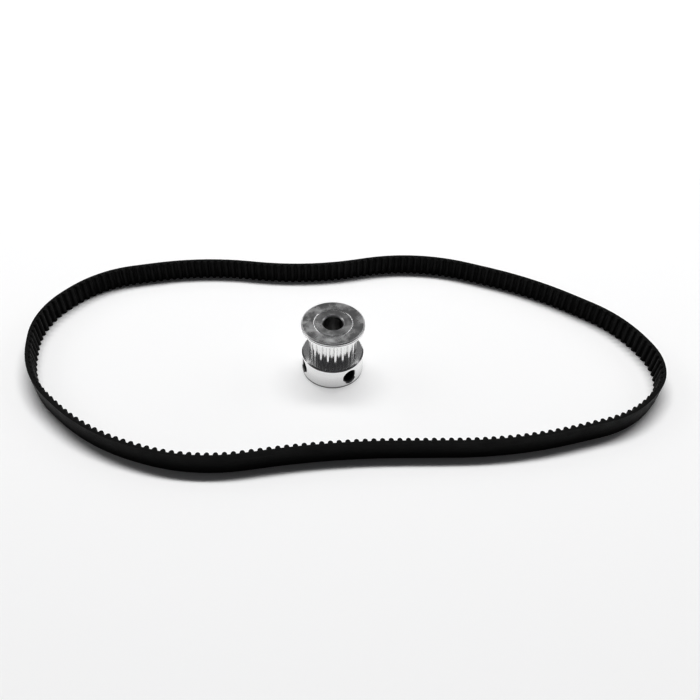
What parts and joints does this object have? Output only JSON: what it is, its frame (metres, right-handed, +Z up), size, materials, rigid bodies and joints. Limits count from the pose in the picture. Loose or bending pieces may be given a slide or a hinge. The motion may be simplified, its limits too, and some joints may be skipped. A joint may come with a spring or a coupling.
{
  "type": "timing belt with pulley",
  "caption": "Endless black toothed belt standing on its edge in a loose loop, with a small flanged aluminium pulley that has a bore and set screws standing inside it.",
  "frame": {"origin": "on the ground, under the middle of the belt's loop", "axes": "+Z up, across the belt's width and along the pulley's bore; +X along the longer way of the loop; the belt's teeth point into the loop"},
  "size_m": [0.1676, 0.0778, 0.016],
  "materials": {
    "belt_rubber": "matt",
    "facing_fabric": "woven",
    "glass_cord": "twisted glass fibre",
    "machined_aluminium": "turned",
    "flange_aluminium": "turned",
    "black_steel": "black oxide"
  },
  "bodies": {
    "belt": {"back_rubber": "belt_rubber", "tooth_rubber": "belt_rubber", "tooth_facing": "facing_fabric", "tension_cord_turn_01": "glass_cord", "tension_cord_turn_02": "glass_cord", "tension_cord_turn_03": "glass_cord", "tension_cord_turn_04": "glass_cord", "tension_cord_turn_05": "glass_cord", "tension_cord_turn_06": "glass_cord", "tension_cord_turn_07": "glass_cord", "tension_cord_turn_08": "glass_cord", "tension_cord_turn_09": "glass_cord", "tension_cord_turn_10": "glass_cord"},
    "pulley": {"pulley_body": "machined_aluminium", "flange_ring": "flange_aluminium"},
    "set_screw_1": {"set_screw_1": "black_steel"},
    "set_screw_2": {"set_screw_2": "black_steel"}
  },
  "joints": [
    {"name": "pulley_spin", "type": "hinge", "parent": "belt", "child": "pulley", "pos_m": [-0.0031, -0.0037, 0], "axis": [0, 0, 1], "continuous": true},
    {"name": "set_screw_1_travel", "type": "slide", "parent": "pulley", "child": "set_screw_1", "axis": [0.6018, -0.7986, 0], "range_m": [-0.0006, 0.0014]},
    {"name": "set_screw_2_travel", "type": "slide", "parent": "pulley", "child": "set_screw_2", "axis": [-0.9272, -0.3746, 0], "range_m": [-0.0006, 0.0014]}
  ]
}
